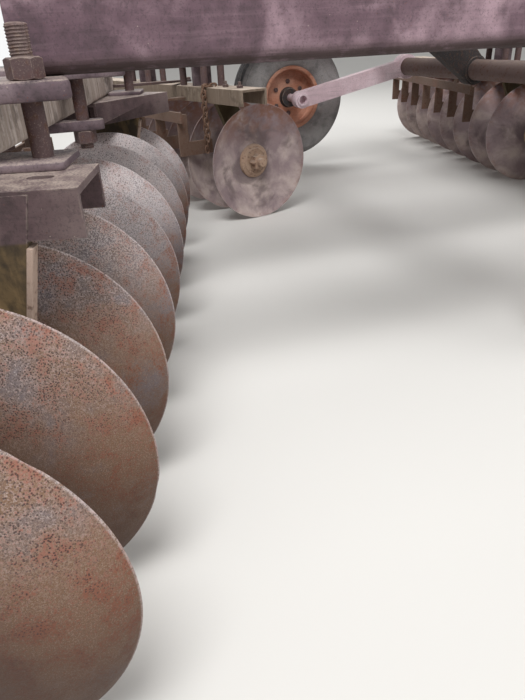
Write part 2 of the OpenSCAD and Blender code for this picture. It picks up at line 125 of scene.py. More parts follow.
# distance from the plane between the gangs, ends of the plate across, bolts across, how they end,
# rows of bolts, and how far ahead the front row stands
RIGHT_IN, RIGHT_OUT = CENTRE_X + INNER_RAIL_X, CENTRE_X + RAIL_X
LEFT_IN, LEFT_OUT = INNER_RAIL_X - CENTRE_X, RAIL_X - CENTRE_X
LEFT_CLAMPS = ((LEFT_IN, -0.160, 0.160, (-0.118, 0.118), "beam", 2, -0.070),
               (LEFT_OUT, -0.160, 0.160, (-0.118, 0.118), "beam", 2, -0.070))
CLAMPS = {
    "rear_right": ((0.200, -0.070, 0.070, (0.0,), "channel", 1, 0.085),
                   (RIGHT_IN, -0.075, 0.215, (0.150,), "strap", 2, 0.052),
                   (RIGHT_OUT, -0.075, 0.215, (0.150,), "channel", 2, 0.116)),
    "rear_left": LEFT_CLAMPS,
    "front_left": LEFT_CLAMPS,
    "front_right": ((RIGHT_IN, -0.075, 0.215, (0.150,), "strap", 2, 0.052),
                    (RIGHT_OUT, -0.075, 0.215, (0.150,), "strap", 2, 0.116)),
}
# Sections of turned pieces, as (radius, height) pairs
COLLAR = ((0.06, -0.0236), (0.06, 0.0015), (0.064, 0.003), (0.069, 0.001), (0.0705, -0.003),
          (0.073, -0.005), (0.079, -0.006), (0.085, -0.0105), (0.089, -0.0165), (0.09, -0.0236))
HUB_CAP = ((0.0445, 0.05), (0.046, 0.054), (0.046, 0.074), (0.04, 0.088), (0.02, 0.094),
           (0.0005, 0.095))
HUB_SEAL = ((0.027, -0.0565), (0.06, -0.0565), (0.064, -0.053), (0.064, -0.018),
            (0.07, -0.015), (0.07, -0.0128), (0.0625, -0.0128), (0.0625, -0.055), (0.027, -0.055))
VALVE = ((0.186, 0.02, 0.022), (0.176, 0.02, 0.04), (0.17, 0.02, 0.062))
EYE_RING = ((0.0285, -0.01), (0.04, -0.01), (0.0415, -0.0085), (0.0415, 0.001), (0.0285, 0.001))
# Half of a tyre from its middle: five ribs, shoulder, rings pressed into the sidewall, bead
TREAD = ((0.4085, 0.0), (0.409, 0.012), (0.404, 0.015), (0.393, 0.017), (0.393, 0.023),
         (0.404, 0.025), (0.408, 0.028), (0.406, 0.048), (0.4, 0.051), (0.39, 0.053),
         (0.3895, 0.059), (0.3985, 0.061), (0.401, 0.064), (0.395, 0.08), (0.388, 0.088),
         (0.374, 0.095), (0.3725, 0.0965), (0.37, 0.0965), (0.368, 0.0985), (0.34, 0.1035),
         (0.31, 0.1045), (0.3085, 0.1035), (0.306, 0.1035), (0.304, 0.1043), (0.27, 0.102),
         (0.25, 0.0975), (0.248, 0.096), (0.245, 0.096), (0.243, 0.096), (0.22, 0.083),
         (0.213, 0.077), (0.2, 0.07))
GLAND = ((0.05, 0.436), (0.0565, 0.438), (0.0565, 0.462), (0.05, 0.466), (0.03, 0.466),
         (0.0222, 0.463), (0.0222, 0.44), (0.05, 0.44))
BARREL_RING = ((0.0525, 0.058), (0.0545, 0.06), (0.0545, 0.072), (0.0525, 0.074), (0.05, 0.066))
BEARING_RING = ((0.0582, -0.004), (0.074, -0.004), (0.076, 0.0), (0.074, 0.004), (0.0582, 0.004))
JACK_CAP = ((0.0005, 0.912), (0.03, 0.91), (0.0385, 0.904), (0.0385, 0.884), (0.0362, 0.882),
            (0.0362, 0.9))
JACK_BAND = ((0.0362, 0.262), (0.0395, 0.264), (0.0395, 0.28), (0.0362, 0.282))
JACK_CRANK = ((0, 0, 0.9), (0, 0, 0.938), (0.01, 0, 0.948), (0.06, 0, 0.948), (0.12, 0, 0.948),
              (0.13, 0, 0.958), (0.13, 0, 1.04))
JACK_GRIP = ((0.0005, 0.965), (0.014, 0.966), (0.015, 0.972), (0.015, 1.03), (0.014, 1.036),
             (0.0005, 1.037))
# name, place, point it looks at, share of the key lamp's power, size
LAMPS = (("key_lamp", (4.4, -3.6, 7.2), (0.6, -1.2, 0.5), 1.0, 3.2),
         ("fill_lamp", (6.5, 3.5, 4.5), (0.4, 0.2, 0.4), 0.6, 5.0),
         ("back_lamp", (-5.5, -1.0, 5.5), (-0.4, 0.0, 0.3), 0.5, 5.0))
# Strength of the world as it lights the harrow, and as the camera and bright metal see it
SKY_LIGHT, SKY_SEEN = 0.41, 0.95
# Colours that the panel doesn't offer, as picked off a screen
TONES = {
    "leg_brown": (104, 86, 60),
    "leg_shade": (60, 50, 38),
    "leg_ochre": (170, 140, 100),
    # Painted shade along the rounded bottom corner of the rails
    "rail_underside_painted_shade": (48, 34, 30),
    "pit": (72, 52, 44),
    "deep_pit": (54, 40, 40),
    "blot": (74, 58, 56),
    "soil_and_painted_shade": (62, 46, 40),
    "purple_steel": (148, 130, 134),
    "chalk_and_painted_sunlight": (204, 187, 181),
    "purple_shade": (98, 84, 88),
    "crest_rust": (142, 100, 80),
    "crest_pit": (62, 48, 46),
}


def from_display(red, green, blue):
    """A colour picked off a screen, 0 to 255, as Blender's linear colour."""
    parts = [c / 255 for c in (red, green, blue)]
    return tuple(c / 12.92 if c < 0.04045 else ((c + 0.055) / 1.055) ** 2.4 for c in parts)


def colour(name, text, red, green, blue):
    return FloatVectorProperty(name=name, description=text, subtype="COLOR", size=3, min=0, max=1,
                               default=from_display(red, green, blue))


def length(name, text, value, low, high):
    return FloatProperty(name=name, description=text, default=value, min=low, max=high,
                         subtype="DISTANCE", unit="LENGTH", precision=4)


def tilt(name, text, degrees):
    return FloatProperty(name=name, description=text, default=math.radians(degrees), subtype="ANGLE",
                         unit="ROTATION")


class HarrowColours(bpy.types.PropertyGroup):
    paint: colour("Frame paint", "Old maroon paint on the rails", 98, 76, 85)
    # Pink of the faded paint, laid on the rails also as painted sunlight dapples
    faded: colour("Faded paint", "Chalky pink bloom on old paint", 174, 147, 156)
    arm: colour("Arm paint", "Sun-bleached paint on the wheel arms", 212, 186, 193)
    channel: colour("Channel paint", "Brown-purple paint on the hanger channels", 88, 70, 72)
    beam: colour("Beam steel", "Weathered steel of the gang beams", 166, 151, 141)
    low_beam: colour("Channel beam", "Grey-beige skin of the low beams", 122, 106, 92)
    steel: colour("Disc steel", "Blue-grey steel of the discs", 108, 99, 103)
    # Pale steel high on the discs, partly bleached and partly painted sunlight, and the painted
    # highlight on the rims
    pale_steel_and_painted_light: colour("Pale steel", "Bleached steel high on the discs", 216, 208, 208)
    brown: colour("Brown oxide", "Even ochre-brown oxide on the discs", 116, 87, 66)
    rust: colour("Rust", "Fresh orange rust", 130, 70, 46)
    old_rust: colour("Old rust", "Dark brown rust", 82, 56, 42)
    dust: colour("Dust", "Pale soil dust", 172, 158, 146)
    grime: colour("Grime", "Black grease and dirt", 38, 34, 34)
    wheel: colour("Wheel paint", "Faded orange-red of the wheels", 186, 124, 98)
    rubber: colour("Rubber", "Aged tyre rubber", 58, 58, 60)
    # Pale sides of the tyres, partly bleached rubber and partly painted sunlight
    sidewall_bleach_and_painted_light: colour("Sidewall", "Bleached rubber of the tyres' sides", 164, 161, 160)


class HarrowSizes(bpy.types.PropertyGroup):
    disc_steps: IntProperty(name="Disc steps", description="Points round the rim of a near disc",
                            default=180, min=48, max=256)
    rim_wear: length("Rim wear", "How far a worn rim falls short of round", 0.0016, 0.0, 0.005)
    thread_pitch: length("Thread pitch", "Distance between the threads of a clamp bolt",
                         0.0052, 0.003, 0.008)
    thread_depth: length("Thread depth", "Depth of a clamp bolt's thread", 0.0024, 0.001, 0.004)
    edge_round: length("Edge rounding", "Rounding on the edges of plates and channels",
                       0.0028, 0.0005, 0.006)
    chain_wire: length("Chain wire", "Thickness of the wire of the hanging chain", 0.008, 0.004, 0.012)


class HarrowStage(bpy.types.PropertyGroup):
    camera_place: FloatVectorProperty(name="Camera place", description="Where the camera stands",
                                      size=3, subtype="XYZ", unit="LENGTH",
                                      default=(2.93 - MIDDLE_X, -MIDDLE, 0.90))
    heading: tilt("Heading", "Direction of the view in the ground plane", 162.0)
    dip: tilt("Dip", "How far the view looks down", 28.39)
    roll: tilt("Roll", "Tilt of the picture", -2.86)
    lens: FloatProperty(name="Focal length", description="Focal length on a 36 mm sensor",
                        default=29.78, min=10, max=200)
    floor: colour("Floor", "Colour of the plain floor", 214, 212, 208)
    key_power: FloatProperty(name="Key lamp", description="Power of the main lamp", subtype="POWER",
                             unit="POWER", default=500, min=0, max=5000)


def arithmetic(operation, swapped=False):
    """A method of signals that adds the node for one sum, between vectors where one is a vector."""
    def work(self, other):
        terms = (other, self) if swapped else (self, other)
        wide = any(t.is_vector for t in terms if isinstance(t, Signal))
        kind = "ShaderNodeVectorMath" if wide else "ShaderNodeMath"
        first, second = ((t,) * 3 if wide and isinstance(t, (int, float)) else t for t in terms)
        return self.nodes.node(kind, {"operation": operation}, {0: first, 1: second})
    return work


class Signal:
    """A node's output. Arithmetic on it adds the nodes that work it out."""

    def __init__(self, nodes, socket):
        self.nodes = nodes
        self.socket = socket
        self.is_vector = socket.type in {"VECTOR", "RGBA"}

    __add__ = __radd__ = arithmetic("ADD")
    __sub__ = arithmetic("SUBTRACT")
    __rsub__ = arithmetic("SUBTRACT", True)
    __mul__ = __rmul__ = arithmetic("MULTIPLY")
    __pow__ = arithmetic("POWER")
    least = arithmetic("MINIMUM")
    most = arithmetic("MAXIMUM")

    def part(self, axis):
        return self.nodes.node("ShaderNodeSeparateXYZ", {}, {0: self}, "XYZ".index(axis))

    def mask(self, low, high):
        """0 up to low, 1 from high on, smooth between; the other way round where low is the larger."""
        ends = (0.0, 1.0) if low < high else (1.0, 0.0)
        return self.nodes.node("ShaderNodeMapRange", {"interpolation_type": "SMOOTHSTEP"},
                               {0: self, 1: min(low, high), 2: max(low, high), 3: ends[0], 4: ends[1]})


def tone(value):
    """A colour for a node: one named in the panel or in TONES, or one picked off a screen."""
    for group in (bpy.context.scene.harrow_colours, bpy.context.scene.harrow_stage):
        if isinstance(value, str) and hasattr(group, value):
            return tuple(getattr(group, value))
    return from_display(*TONES.get(value, value))


class Nodes:
    """A tree of shader nodes in the making."""

    def __init__(self, tree):
        self.tree = tree
        tree.nodes.clear()

    def node(self, kind, settings, sockets, out=0):
        """Adds one node: its type, its settings, the values or links of its sockets, the output used."""
        made = self.tree.nodes.new(kind)
        for key, value in settings.items():
            setattr(made, key, value)
        for key, value in sockets.items():
            if isinstance(value, Signal):
                self.tree.links.new(value.socket, made.inputs[key])
            elif made.inputs[key].type == "RGBA":
                made.inputs[key].default_value = (*tone(value), 1.0)
            else:
                made.inputs[key].default_value = value
        return Signal(self, made.outputs[out]) if made.outputs else None


class Finish(Nodes):
    """A material in the making: a first colour, and what is laid over it."""

    def __init__(self, name, tint):
        self.material = bpy.data.materials.new(name)
        self.material.use_nodes = True
        super().__init__(self.material.node_tree)
        self.place = self.node("ShaderNodeTexCoord", {}, {}, "Object")
        self.tint = tint

    def cloud(self, scale, detail=4.0, rough=0.55, bend=0.0, stretch=None):
        """Soft noise from 0 to 1, centred on a half, with about scale lumps to the metre."""
        return self.node("ShaderNodeTexNoise", {}, {
            "Vector": self.place * stretch if stretch else self.place, "Scale": scale,
            "Detail": detail, "Roughness": rough, "Distortion": bend})

    def grains(self, scale, feature="F1"):
        """Distance to the nearest of scattered grains, or to the cracks between them."""
        return self.node("ShaderNodeTexVoronoi", {"feature": feature},
                         {"Vector": self.place, "Scale": scale})

    def mix(self, under, over, share):
        return self.node("ShaderNodeMix", {"data_type": "RGBA"}, {0: share, 6: under, 7: over}, 2)

    def lay(self, over, share):
        """Lays a share of a colour over the tint."""
        self.tint = self.mix(self.tint, over, share)

    def normal(self):
        return self.node("ShaderNodeNewGeometry", {}, {}, "Normal")

    def upward(self):
        """1 where a face looks up."""
        return self.normal().part("Z")

    def edges(self, reach):
        """1 near sharp edges, where paint wears and dust catches."""
        soft = self.node("ShaderNodeBevel", {"samples": 4}, {"Radius": reach})
        along = self.node("ShaderNodeVectorMath", {"operation": "DOT_PRODUCT"},
                          {0: soft, 1: self.normal()}, "Value")
        return along.mask(0.995, 0.90)

    def done(self, rough, height, depth, metal=0.0):
        """Joins tint, roughness and relief to the surface, and returns the material."""
        relief = self.node("ShaderNodeBump", {}, {"Strength": 1.0, "Distance": depth, "Height": height})
        surface = self.node("ShaderNodeBsdfPrincipled", {}, {
            "Base Color": self.tint, "Roughness": rough, "Metallic": metal, "Specular IOR Level": 0.4,
            "Normal": relief})
        self.node("ShaderNodeOutputMaterial", {}, {"Surface": surface})
        return self.material


def painted(name, paint, bloom_and_painted_sunlight, wear, dusty, grimy, underside=None, bare_below=None):
    """Old machine paint: pink bloom with painted sunlight dapples, fine scratches, grime, rust freckles,
    pale specks, dust on top, and painted shade under a rail.
    """
    f = Finish(name, paint)
    broad = f.cloud(4.6, 3, 0.5, 0.8)
    middle = f.cloud(21, 5, 0.62, 0.3)
    fine = f.cloud(210, 4, 0.68)
    grain = f.cloud(1.0, 4, 0.6, 0.0, (70, 5, 110))
    # Pink bloom of faded paint, in patches that also stand for painted sunlight dapples
    f.lay(bloom_and_painted_sunlight, (broad * 0.8 + middle * 0.25).mask(0.43, 0.70) * 0.78)
    f.lay("grime", (middle * 0.6 + broad * 0.4).mask(0.50, 0.32) * grimy)
    f.lay(bloom_and_painted_sunlight, grain.mask(0.50, 0.70) * 0.10)
    f.lay("grime", grain.mask(0.48, 0.30) * 0.18)
    f.lay("grime", fine.mask(0.48, 0.36) * 0.35)
    bare = (middle * 0.8 + fine * 0.35).mask(0.74, 0.82)
    f.lay("old_rust", bare * wear)
    freckle = f.grains(120).mask(0.18, 0.06) * f.cloud(9, 2).mask(0.50, 0.64)
    f.lay("rust", (freckle * wear).least(0.8))
    f.lay("dust", f.grains(64).mask(0.085, 0.03) * middle.mask(0.48, 0.60) * 0.8)
    worn = f.edges(0.004) * f.cloud(60, 3).mask(0.42, 0.60)
    f.lay("dust", worn * 0.4 * dusty)
    if bare_below is not None:
        runs = f.cloud(1.0, 4, 0.6, 0.3, (18, 18, 6))
        brown = f.mix("leg_brown", "leg_shade", (runs * 0.6 + middle * 0.5).mask(0.60, 0.42))
        legs = f.place.part("Z").mask(bare_below, bare_below - 0.006)
        f.lay(f.mix(brown, "leg_ochre", runs.mask(0.48, 0.66) * 0.6), legs)
    # Painted shade: a dark band along the rounded bottom corner of a rail, where shade falls
    if underside is not None:
        level = f.place.part("Z")
        underside_painted_shade = level.mask(underside + 0.040, underside + 0.008)
        underside_painted_shade = underside_painted_shade * level.mask(underside - 0.020, underside - 0.006)
        f.lay("rail_underside_painted_shade", underside_painted_shade * (middle * 0.6 + grain * 0.5).mask(0.34, 0.56) * 0.9)
    settled = f.upward().mask(0.55, 0.95) * (fine * 0.5 + middle * 0.5).mask(0.40, 0.62)
    f.lay("dust", settled * dusty * 0.8)
    height = fine * 0.5 + middle * 0.5 + grain * 0.3 - bare * 0.5 - freckle * 0.3
    return f.done(0.62 + fine * 0.22 - worn * 0.1, height, 0.0009)


def weathered(name, base, dark, pale, streaks=1.0, top="dust"):
    """Bare steel gone brown, with grey streaks that ran down its sides."""
    f = Finish(name, base)
    broad = f.cloud(4.2, 3, 0.6, 0.8)
    fine = f.cloud(230, 4, 0.68)
    middle = f.cloud(34, 4, 0.62, 0.4)
    runs = f.cloud(1.0, 5, 0.66, 0.35, (46, 46, 4.2))
    f.lay(pale, (runs * 0.7 + broad * 0.5).mask(0.56, 0.74) * 0.85 * streaks)
    f.lay(dark, (runs * 0.6 + middle * 0.5).mask(0.50, 0.34) * 0.85 * streaks)
    f.lay(dark, broad.mask(0.50, 0.64) * middle.mask(0.40, 0.62) * 0.6)
    speck = f.grains(170).mask(0.22, 0.07) * f.cloud(11, 2).mask(0.46, 0.62)
    f.lay("rust", speck * 0.5)
    f.lay("grime", fine.mask(0.42, 0.30) * 0.45)
    f.lay(top, f.edges(0.004) * f.cloud(70, 3).mask(0.40, 0.58) * 0.45)
    f.lay(top, f.upward().mask(0.5, 0.95) * f.cloud(20, 4, 0.7).mask(0.28, 0.6) * 0.75)
    height = fine * 0.6 + runs * 0.5 + middle * 0.4 - speck * 0.3
    return f.done(0.68 + fine * 0.22, height, 0.0012)


def rusted_iron(name, base, rusty, dusty):
    """Rough iron under an even coat of rust and soil."""
    f = Finish(name, base)
    broad = f.cloud(9, 4, 0.6, 0.4)
    fine = f.cloud(260, 5, 0.7)
    middle = f.cloud(58, 4, 0.64)
    f.lay("rust", (broad * 0.5 + middle * 0.5).mask(0.50, 0.66) * rusty)
    f.lay("old_rust", (middle + fine * 0.3).mask(0.66, 0.84) * 0.7)
    f.lay("dust", fine.mask(0.52, 0.7) * dusty * 0.6)
    f.lay("dust", f.edges(0.003) * middle.mask(0.3, 0.55) * 0.35)
    f.lay("dust", f.upward().mask(0.4, 0.95) * middle.mask(0.3, 0.7) * dusty)
    return f.done(0.7 + fine * 0.2, fine * 0.7 + middle * 0.6, 0.0012)


def disc_steel(name, gang):
    """Grey steel speckled pale and dark, ochre outward, pale high up with bleached steel and painted
    sunlight, darker low down and near the axle with soil and painted shade, and a pale rim edge that is
    partly a painted highlight.

    The left gangs' discs are smoother, purplish and rusted along the top, and paler low down with chalky
    dust and painted sunlight.
    """
    side, y, swing, _, _, _ = GANGS[gang]
    f = Finish(name, "steel" if side > 0 else "purple_steel")
    local = f.node("ShaderNodeMapping", {"vector_type": "TEXTURE"}, {
        "Vector": f.place, "Location": (side * INNER_X - MIDDLE_X, y - MIDDLE, DISC_R),
        "Rotation": (0.0, 0.0, swing * GANG_ANGLE * side)})
    level = local.part("Z")
    out = (local.part("Y") ** 2 + level ** 2) ** 0.5
    coarse = f.cloud(6, 4, 0.6, 0.5)
    patch = f.cloud(26, 4, 0.62, 0.4)
    speckle = f.cloud(230, 4, 0.85, 0.1)
    fine = f.cloud(560, 2, 0.7)
    if side > 0:
        along = local.part("X") * side
        high = level.mask(-0.06, 0.27)
        outer = along.mask(0.9, 1.9)
        ochre = coarse * 0.7 + patch * 0.4 + speckle * 0.4 + outer * 0.14 - high * 0.08
        f.lay("brown", ochre.mask(0.62, 0.88))
        # Pale speckle high on the discs: partly bleached steel, partly painted sunlight on their tops
        pale = high * (speckle * 0.9 + patch * 0.3 - outer * 0.12).mask(0.44, 0.62)
        f.lay("pale_steel_and_painted_light", pale * 0.85)
        f.lay("dust", fine.mask(0.50, 0.64) * 0.35)
        red = (speckle * 0.8 + patch * 0.5 + coarse * 0.1).mask(0.71, 0.80)
        f.lay("rust", red * 0.8)
        f.lay("pit", f.grains(420).mask(0.42, 0.20) * fine.mask(0.40, 0.56) * 0.6)
        dark = (speckle * 0.4 + patch * 0.4 + high * 0.14).mask(0.42, 0.54)
        dark = f.grains(300).mask(0.46, 0.24) * dark
        f.lay("deep_pit", dark * 0.9)
        # Pale patches high on the inner discs: partly bleached steel, partly painted sunlight dapples
        bleach_and_painted_sunlight = high * along.mask(1.75, 0.5)
        f.lay("pale_steel_and_painted_light", bleach_and_painted_sunlight * (speckle * 0.6 + patch * 0.4).mask(0.36, 0.60) * 0.62)
        blots = f.grains(130).mask(0.36, 0.16) * (patch * 0.7 + coarse * 0.4).mask(0.46, 0.60)
        f.lay("blot", blots * bleach_and_painted_sunlight * 0.9)
    else:
        # Chalky pale low down on the left gangs' discs: partly dust, partly painted sunlight on the
        # lower face
        f.lay("chalk_and_painted_sunlight", (f.cloud(6.5, 5, 0.6, 0.35) - level * 0.3).mask(0.38, 0.72))
        f.lay("purple_shade", (coarse * 0.8 + out * 0.5).mask(0.50, 0.36) * 0.7)
        crest = level.mask(0.06, 0.26) * (patch * 0.6 + coarse * 0.5).mask(0.42, 0.62)
        f.lay("crest_rust", crest * 0.8)
        f.lay("dust", fine.mask(0.50, 0.66) * 0.35 * (1.0 - crest))
        dark = f.grains(210).mask(0.22, 0.08) * patch.mask(0.46, 0.60)
        f.lay("crest_pit", dark * 0.7)
    rim = out.mask(DISC_R - 0.030, DISC_R - 0.004)
    f.lay("rust", rim * (speckle * 0.7 + patch * 0.5).mask(0.56, 0.72) * 0.4)
    # Painted shade with some soil: darker low on each disc and near the axle, where the next disc shades
    # it
    shade = level.mask(0.14, -0.20) * 0.75 + out.mask(0.25, 0.07) * 0.5
    f.lay("soil_and_painted_shade", (shade * (0.6 + patch)).least(0.80) * (1.0 if side > 0 else 0.25))
    # Pale line along the rim's edge: partly bright worn steel, partly a painted highlight
    edge = out.mask(DISC_R - 0.0040, DISC_R - 0.0015)
    f.lay("pale_steel_and_painted_light", edge * speckle.mask(0.36, 0.56) * 0.38)
    height = fine * 0.4 + speckle * 0.8 - dark * 0.4
    return f.done(0.58 + speckle * 0.2 + fine * 0.1, height, 0.0009, metal=0.1)


def tyre_rubber(name):
    """Dark tread and a sidewall made pale grey, partly bleached rubber and partly painted sunlight, both
    finely cracked and dusty.
    """
    f = Finish(name, "rubber")
    fine = f.cloud(300, 4, 0.7)
    middle = f.cloud(60, 4, 0.6)
    cracks = f.grains(110, "DISTANCE_TO_EDGE")
    sideways = f.normal().part("X")
    # Paler sides than tread: partly bleached rubber, partly painted sunlight on faces that look sideways
    f.lay("sidewall_bleach_and_painted_light", (sideways * sideways).mask(0.25, 0.75) * 0.9)
    f.lay("dust", middle.mask(0.48, 0.74) * 0.22 + fine.mask(0.55, 0.7) * 0.12)
    f.lay("rubber", f.cloud(7, 4, 0.6, 0.4).mask(0.46, 0.66) * 0.45)
    f.lay("grime", cracks.mask(0.05, 0.0) * 0.5)
    return f.done(0.78 + fine * 0.15, fine * 0.4 + cracks.mask(0.0, 0.06) * 0.3, 0.0008)


def bright_steel(name, base, rough):
    """Plated steel with rust coming through in spots."""
    f = Finish(name, base)
    fine = f.cloud(180, 4, 0.6)
    spots = f.cloud(40, 4, 0.7).mask(0.56, 0.70)
    f.lay("rust", spots * 0.7)
    return f.done(rough + fine * 0.15 + spots * 0.35, fine, 0.0004, metal=1.0 - spots)


# What makes each finish, its colours, and its other values in the order in which the maker takes them
FINISH_TABLE = {
    "frame_paint": (painted, "paint", "faded", 0.35, 0.5, 0.45, RAIL_Z),
    "channel_paint": (painted, "channel", (118, 102, 100), 0.6, 0.9, 0.5, None, BEAM_Z - 0.078),
    "clamp_paint": (painted, (90, 74, 80), (140, 124, 128), 0.5, 0.9, 0.5),
    "arm_paint": (painted, "arm", (232, 214, 220), 0.3, 0.3, 0.08),
    "wheel_paint": (painted, "wheel", (206, 160, 138), 0.6, 0.6, 0.35),
    "cylinder_paint": (painted, (106, 62, 54), "wheel", 0.6, 0.4, 0.4),
    "beam_steel": (weathered, "beam", (70, 55, 46), (206, 194, 186)),
    "channel_steel": (weathered, "low_beam", (80, 66, 54), (156, 142, 126), 0.6, (214, 198, 182)),
    "leg_steel": (weathered, (84, 74, 52), (44, 40, 30), (122, 102, 72), 0.9),
    "scraper_steel": (rusted_iron, (100, 78, 66), 0.35, 0.5),
    "axle_iron": (rusted_iron, (164, 138, 118), 0.2, 0.9),
    "shaft_steel": (rusted_iron, (106, 88, 84), 0.2, 0.3),
    "bearing_iron": (rusted_iron, (48, 44, 45), 0.1, 0.3),
    "hitch_iron": (rusted_iron, (78, 66, 60), 0.3, 0.4),
    "bolt_iron": (rusted_iron, (86, 68, 68), 0.22, 0.55),
    "chain_iron": (rusted_iron, (104, 74, 56), 0.5, 0.3),
    "strip_steel": (rusted_iron, (164, 142, 128), 0.3, 0.8),
    "tyre_rubber": (tyre_rubber,),
    "rod_chrome": (bright_steel, (168, 168, 170), 0.24),
    **{f"disc_steel_{gang}": (disc_steel, gang) for gang in GANGS},
}
FINISHES = {}


def finish(name):
    """The material of a finish, made where it is first asked for."""
    if name not in FINISHES:
        maker, *values = FINISH_TABLE[name]
        FINISHES[name] = maker(name, *values)
    return FINISHES[name]


def move(x, y, z):
    return Matrix.Translation((x, y, z))


def turned(degrees, axis):
    return Matrix.Rotation(math.radians(degrees), 4, axis)


def place(x, y, z):
    """A place counted from the plane between the gangs and the near gang's inner rim."""
    return move(x - MIDDLE_X, y - MIDDLE, z)


def mirrored(side):
    return Matrix.Diagonal((side, 1, 1, 1))


def gang_matrix(gang):
    """From a gang's own frame, +X along the discs, to the row frame."""
    side, y, swing, _, _, _ = GANGS[gang]
    spun = move(INNER_X, y, DISC_R) @ Matrix.Rotation(swing * GANG_ANGLE, 4, "Z")
    return place(0, 0, 0) @ mirrored(side) @ spun


def bearing_places(gang):
    """How far along its axle each of a gang's bearings stands."""
    dish = GANGS[gang][3]
    return [(k + 0.5) * PITCH + dish * BEARING_SHIFT for k in BEARINGS]


def angles(steps):
    return [2 * math.pi * i / steps for i in range(steps)]


def around(radius, angle, height=0.0):
    """The point at an angle round the z axis."""
    return (radius * math.cos(angle), radius * math.sin(angle), height)


def rounded(width, height, radius, steps=5):
    """Outline of a rectangle with rounded corners."""
    points = []
    for corner, (x, y) in enumerate(((1, 1), (-1, 1), (-1, -1), (1, -1))):
        for i in range(steps + 1):
            dx, dy, _ = around(radius, math.radians(90 * corner + 90 * i / steps))
            points.append((x * (width / 2 - radius) + dx, y * (height / 2 - radius) + dy))
    return points


def added(name, data):
    """A new object in the scene."""
    made = bpy.data.objects.new(name, data)
    bpy.context.scene.collection.objects.link(made)
    return made


class Shape:
    """One mesh in the making. Parts are added to it, each laid down by a matrix."""

    def __init__(self):
        self.mesh = bmesh.new()

    def loft(self, rings, at, round_trip=False):
        """Joins rings of points into one skin, closed at both ends or back on itself."""
        rows = [[self.mesh.verts.new(at @ Vector(p)) for p in ring] for ring in rings]
        for one, two in zip(rows, rows[1:] + (rows[:1] if round_trip else [])):
            for i in range(len(one)):
                j = (i + 1) % len(one)
                self.mesh.faces.new((one[i], one[j], two[j], two[i]))
        if not round_trip:
            self.mesh.faces.new(rows[0])
            self.mesh.faces.new(rows[-1])

    def lathe(self, profile, steps, at, round_trip=False):
        """Turns a profile of (radius, height) pairs about its z axis."""
        self.loft([[around(r, a, h) for a in angles(steps)] for r, h in profile], at, round_trip)

    def plate(self, outline, low, high, at, edge=0.003):
        """A flat plate from low to high, its edges rounded a little."""
        middle = Vector((sum(p[0] for p in outline), sum(p[1] for p in outline))) / len(outline)
        rings = []
        for height, inset in ((low, edge), (low + edge * 0.3, edge * 0.3), (low + edge, 0),
                              (high - edge, 0), (high - edge * 0.3, edge * 0.3), (high, edge)):
            ring = []
            for p in outline:
                d = Vector(p) - middle
                d = d - Vector([math.copysign(min(inset, abs(v)), v) for v in d])
                ring.append((middle.x + d.x, middle.y + d.y, height))
            rings.append(ring)
        self.loft(rings, at)

    def nut(self, width, height, corners, at):
        """A nut with its corners ground off, width across the corners' circle."""
        flat = width / 2 * math.cos(math.pi / corners)
        ease = 0.55 if corners > 4 else 0.16
        rings = [[], [], [], []]
        for a in angles(corners * 6):
            off = (a + math.pi / corners) % (2 * math.pi / corners) - math.pi / corners
            r = min(flat / math.cos(off), width / 2 * 0.992)
            cap = min(r * 0.94, flat * 0.93) if corners > 4 else r * 0.94
            rise = (r - flat) * ease
            levels = (0.0, 0.0012 + rise, height - 0.0012 - rise, height)
            for ring, radius, level in zip(rings, (cap, r, r, cap), levels):
                ring.append(around(radius, a, level))
        self.loft(rings, at)

    def thread(self, radius, depth, pitch, span, at, sides=24):
        """A threaded rod's end: a ridge that winds up it, then a chamfer."""
        rows = max(4, round(span / pitch * 4))
        rings = []
        for j in range(rows + 1):
            z = span * j / rows
            limit = radius * min(1.0, (span - z) / (pitch * 0.8) + 0.45)
            ring = []
            for i, a in enumerate(angles(sides)):
                wave = (z / pitch - i / sides) % 1.0
                ring.append(around(min(radius - depth * abs(2 * wave - 1) ** 0.8, limit), a, z))
            rings.append(ring)
        self.loft(rings, at)

    def sweep(self, path, radius, sides, at, round_trip=False):
        """A round bar along a path of points."""
        points = [Vector(p) for p in path]
        count = len(points)
        rings = []
        across = None
        for i, p in enumerate(points):
            if round_trip:
                ahead = points[(i + 1) % count] - points[i - 1]
            else:
                ahead = points[min(i + 1, count - 1)] - points[max(i - 1, 0)]
            ahead.normalize()
            if across is None:
                across = ahead.orthogonal().normalized()
            across = (across - ahead * across.dot(ahead)).normalized()
            other = ahead.cross(across)
            rings.append([p + radius * (math.cos(a) * across + math.sin(a) * other)
                          for a in angles(sides)])
        self.loft(rings, at, round_trip)

    def piece(self, name, body, slot, coating, smooth=35.0):
        """Ends the mesh and hangs it on a body of the frame."""
        bmesh.ops.recalc_face_normals(self.mesh, faces=self.mesh.faces)
        data = bpy.data.meshes.new(name)
        self.mesh.to_mesh(data)
        self.mesh.free()
        data.shade_smooth()
        data.set_sharp_from_angle(angle=math.radians(smooth))
        data.materials.append(finish(coating))
        made = added(name, data)
        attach(made, body)
        return made


def coat(node, coating, bevel):
    """Gives a solid of the frame its finish, and rounds its edges where bevel says how much."""
    thing = NODES[node]
    thing.data.materials.clear()
    thing.data.materials.append(finish(coating))
    for face in thing.data.polygons:
        face.material_index = 0
    if bevel:
        weld = thing.modifiers.new("Weld", "WELD")
        weld.merge_threshold = 0.00002
        ease = thing.modifiers.new("Rounding", "BEVEL")
        ease.width = bevel
        ease.segments = 2
        ease.limit_method = "ANGLE"
        ease.angle_limit = math.radians(30.0)
        ease.harden_normals = True


